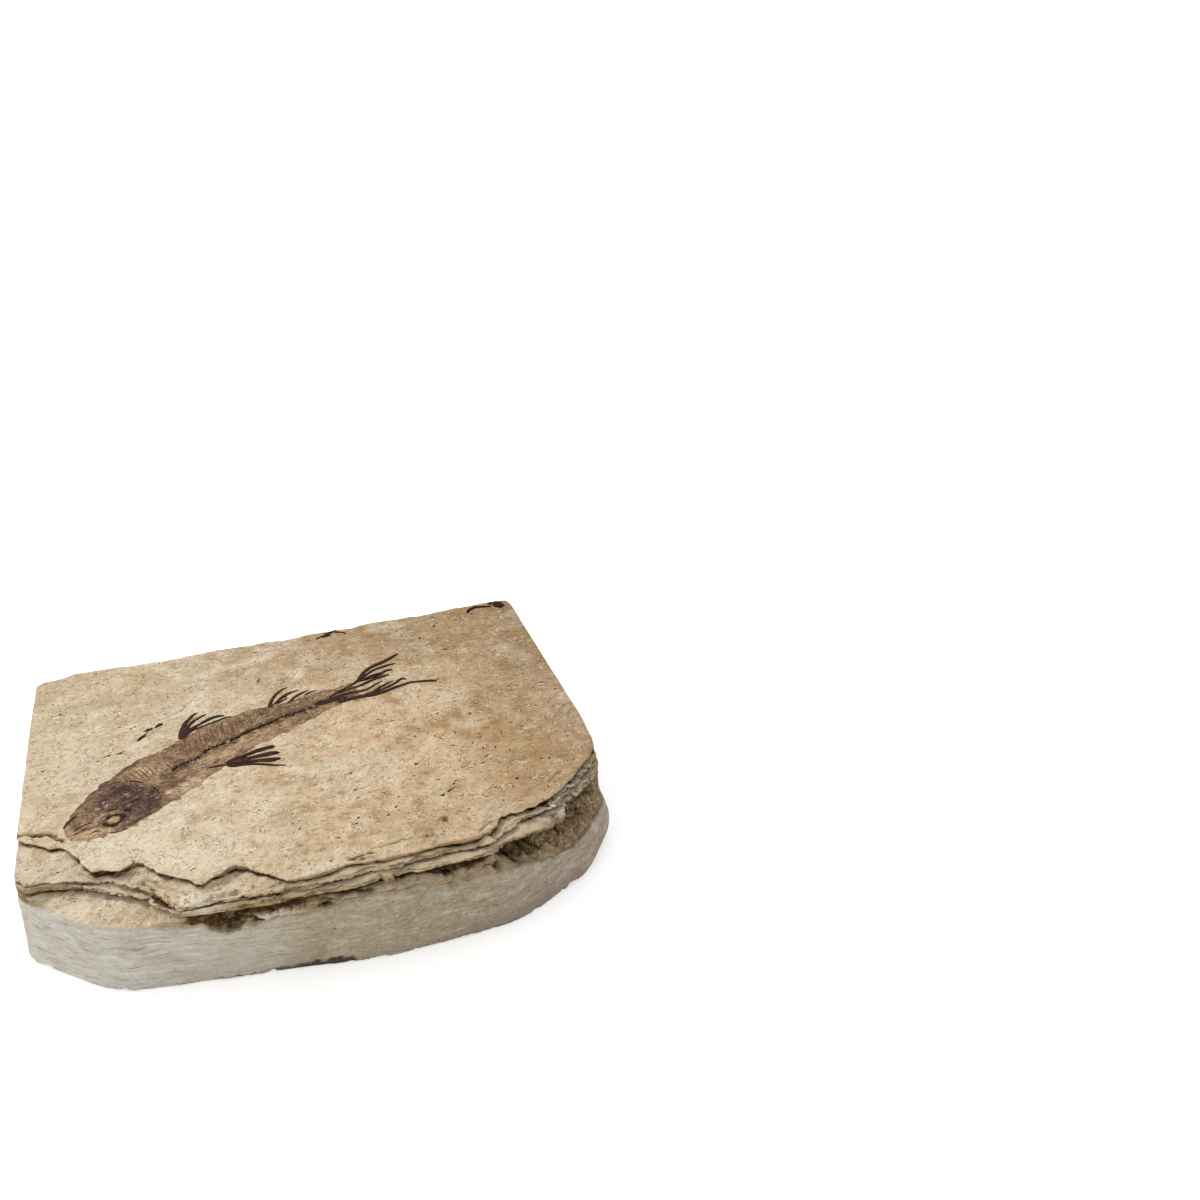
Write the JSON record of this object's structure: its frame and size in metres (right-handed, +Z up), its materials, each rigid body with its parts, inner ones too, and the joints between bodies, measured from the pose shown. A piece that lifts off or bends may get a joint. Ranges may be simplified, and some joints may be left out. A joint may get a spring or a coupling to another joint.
{
  "type": "fossil fish slab",
  "caption": "Limestone slab with sawn sides, rounded front corners and a split, layered front edge, holding a small fossil fish in its top face.",
  "frame": {"origin": "on the resting face, under the middle of the bounding box", "axes": "+X along the slab's long edge, towards the fish's tail; +Y to the straight back edge; +Z up, out of the face that holds the fish"},
  "size_m": [0.1116, 0.092, 0.0203],
  "materials": {
    "limestone": "cream fine-grained limestone: split top with fine grit and specks, grey-beige sawn sides, brown in the cracks, fully matt",
    "fossil_bone": "dark brown to purple-brown mineralised bone, thin film with faint sheen"
  },
  "bodies": {
    "root": {"limestone_slab": "limestone", "fish_fossil": "fossil_bone", "fin_scrap": "fossil_bone", "bone_scrap": "fossil_bone"}
  },
  "joints": []
}
